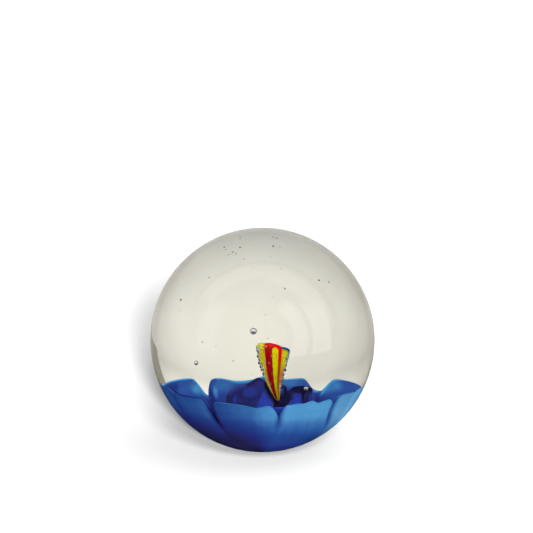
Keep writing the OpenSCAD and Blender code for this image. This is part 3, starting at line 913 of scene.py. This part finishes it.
# black flag beside the backdrop: a dark sliver in the ball's edge
flag = mesh_object("flag", np.array([
    (7.0, 1.5, -1.0), (10.1, 7.0, -1.0), (9.2, 8.6, 3.5), (6.5, 1.0, 3.5)
]) * R, [(0, 1, 2, 3)], False)
flagk = Nodes("flag_cloth")
matte(flagk, flagk.mix(flagk.math("ADD", cloud(flagk, 20.0), 0.5), (0.15, 0.15, 0.13), (0.18, 0.18, 0.16)), 0.9)
flag.data.materials.append(flagk.m)
flag.visible_camera = flag.visible_diffuse = flag.visible_glossy = flag.visible_shadow = False

world = bpy.data.worlds.new("studio")
scene.world = world
world.use_nodes = True
wt = world.node_tree
bg = wt.nodes["Background"]
bg.inputs[0].default_value = (1.0, 1.0, 1.0, 1)


def wmath(op, a, b):
    m = wt.nodes.new("ShaderNodeMath")
    m.operation = op
    for sock, v in zip(m.inputs, (a, b)):
        if isinstance(v, bpy.types.NodeSocket):
            wt.links.new(v, sock)
        else:
            sock.default_value = v
    return m.outputs[0]


# a bright room for what scatters light, a dimmer one behind clear glass and in gloss
path = wt.nodes.new("ShaderNodeLightPath").outputs
where = wt.nodes.new("ShaderNodeSeparateXYZ")
wt.links.new(wt.nodes.new("ShaderNodeTexCoord").outputs["Generated"], where.inputs[0])
up = wmath("MINIMUM", wmath("MAXIMUM", wmath("MULTIPLY", where.outputs[2], 3.0), 0.0), 1.0)
seen_through = wmath("MULTIPLY", path["Is Transmission Ray"], wmath("LESS_THAN", path["Diffuse Depth"], 0.5))
shown = wmath("SUBTRACT", 1.65, wmath("MULTIPLY", seen_through, 1.05))
shown = wmath("MULTIPLY", shown, wmath("SUBTRACT", 1.0, path["Is Glossy Ray"]))
shown = wmath("ADD", shown, wmath("MULTIPLY", path["Is Glossy Ray"], wmath("MULTIPLY", up, 0.30)))
# white backdrop mirrored in the ball's outline
away = wmath("SUBTRACT", wmath("MULTIPLY", where.outputs[1], math.cos(math.radians(14.5))), wmath("MULTIPLY", where.outputs[2], math.sin(math.radians(14.5))))
away = wmath("MINIMUM", wmath("MAXIMUM", wmath("MULTIPLY", wmath("SUBTRACT", away, 0.80), 6.0), 0.0), 1.0)
level = wmath("MINIMUM", wmath("MAXIMUM", wmath("MULTIPLY", wmath("ADD", where.outputs[2], 0.32), 6.0), 0.0), 1.0)
away = wmath("MULTIPLY", away, level)
shown = wmath("ADD", shown, wmath("MULTIPLY", path["Is Glossy Ray"], wmath("MULTIPLY", away, 0.5)))
wt.links.new(shown, bg.inputs[1])


def lamp(name, loc, size, radiance, seen=False, aim=(0, 0, 0)):
    """Soft panel of the given radiance, facing the aim; seen says if gloss shows it."""
    d = bpy.data.lights.new(name, "AREA")
    d.shape = "RECTANGLE" if seen else "ELLIPSE"
    d.size, d.size_y = size[0] * R, size[1] * R
    area = d.size * d.size_y * (1 if seen else math.pi / 4)
    d.energy = radiance * math.pi * area
    o = bpy.data.objects.new(name, d)
    scene.collection.objects.link(o)
    o.location = Vector(loc) * R
    o.rotation_euler = (Vector(aim) * R - o.location).to_track_quat("-Z", "Y").to_euler()
    o.visible_glossy = seen
    return o


# light for the floor alone: two beside the lens and one high at the right, for the shadow round the ball
floor_only = bpy.data.collections.new("floor_only")
floor_only.objects.link(floor)
ball_only = bpy.data.collections.new("ball_only")
ball_only.objects.link(bpy.data.objects["ball"])
for name, az, el, angle, energy in (("low_light", 8, 15, 5, 73), ("mid_light", 9, 29, 13, 28), ("high_light", 60, 68, 50, 10)):
    sun = bpy.data.lights.new(name, "SUN")
    sun.energy, sun.angle = energy, math.radians(angle)
    ob = bpy.data.objects.new(name, sun)
    scene.collection.objects.link(ob)
    a, e = math.radians(az), math.radians(el)
    ob.rotation_euler = Vector((-math.sin(a) * math.cos(e), math.cos(a) * math.cos(e), -math.sin(e))).to_track_quat("-Z", "Y").to_euler()
    ob.light_linking.receiver_collection = floor_only
    ob.light_linking.blocker_collection = ball_only

lamp("key", (8, -11, 13), (9, 9), 3.5)
lamp("fill", (-10, -11, 11), (9, 9), 2.8)


def build_glow():
    """Curved white cards round the lens, seen only in the ball's gloss. Angles from the lens axis and from up."""
    e = math.radians(14.5)
    ax = np.array([0, -math.cos(e), math.sin(e)])
    right, upv = np.array([1.0, 0, 0]), np.array([0, math.sin(e), math.cos(e)])
    th = np.linspace(24, 84, 61)
    ph = np.linspace(-130, 150, 141)
    T, P = np.meshgrid(th, ph, indexing="ij")
    t, q = np.radians(T), np.radians(P)
    pts = 16 * R * (
        np.cos(t)[..., None] * ax + np.sin(t)[..., None] * (np.sin(q)[..., None] * right + np.cos(q)[..., None] * upv)
    )
    n = len(ph)
    faces = [(i * n + j, (i + 1) * n + j, (i + 1) * n + j + 1, i * n + j + 1)
             for i in range(len(th) - 1) for j in range(n - 1)]
    ob = mesh_object("glow_cards", pts.reshape(-1, 3), faces)
    g = 0.75 * band(T, 33, 43, 5) * band(P, 35, 118, 14)
    g = np.maximum(g, 1.0 * band(T, 52, 69, 4) * band(P, 62, 108, 22))
    g = np.maximum(g, 0.65 * band(T, 60, 73, 5) * band(P, 12, 70, 16))
    g = np.maximum(g, 0.50 * band(T, 66, 76, 6) * band(P, -45, 20, 22))
    g = np.maximum(g, 0.40 * band(T, 50, 62, 8) * band(P, -110, -60, 20))
    add_attr(ob, "glow", (g * (pts[..., 2] > -0.9 * R)).ravel())
    return ob


glow = build_glow()
gk = Nodes("white_card")
ge = gk.n("Emission")
gk.link(gk.math("MULTIPLY", gk.attr("glow"), 1.5), ge.inputs["Strength"])
gk.link(ge.outputs[0], gk.out.inputs["Surface"])
glow.data.materials.append(gk.m)
glow.visible_camera = glow.visible_diffuse = glow.visible_transmission = glow.visible_shadow = False

# ---------------------------------------------------------------- camera
ELEV, DIST = math.radians(14.5), 12.0
F_PX = 111.95 * math.sqrt(DIST * DIST - 1)
cam_data = bpy.data.cameras.new("camera")
cam = bpy.data.objects.new("camera", cam_data)
scene.collection.objects.link(cam)
cam_data.sensor_width = 36
cam_data.lens = 36 * F_PX / 533
back = Vector((0, -math.cos(ELEV), math.sin(ELEV)))
cam.location = back * (DIST * R)
base = (-back).to_track_quat("-Z", "Y").to_matrix()
up_px, right_px = 73.0, 4.0
turn = Matrix.Rotation(math.atan(up_px / F_PX), 3, "X") @ Matrix.Rotation(-math.atan(right_px / F_PX), 3, "Y")
cam.rotation_euler = (base @ turn).to_euler()
cam_data.clip_start, cam_data.clip_end = 0.01, 100
scene.camera = cam

scene.view_settings.view_transform = "Standard"
scene.view_settings.look = "None"
scene.cycles.max_bounces = 20
scene.cycles.transmission_bounces = 16
scene.cycles.diffuse_bounces = 5
scene.cycles.glossy_bounces = 6
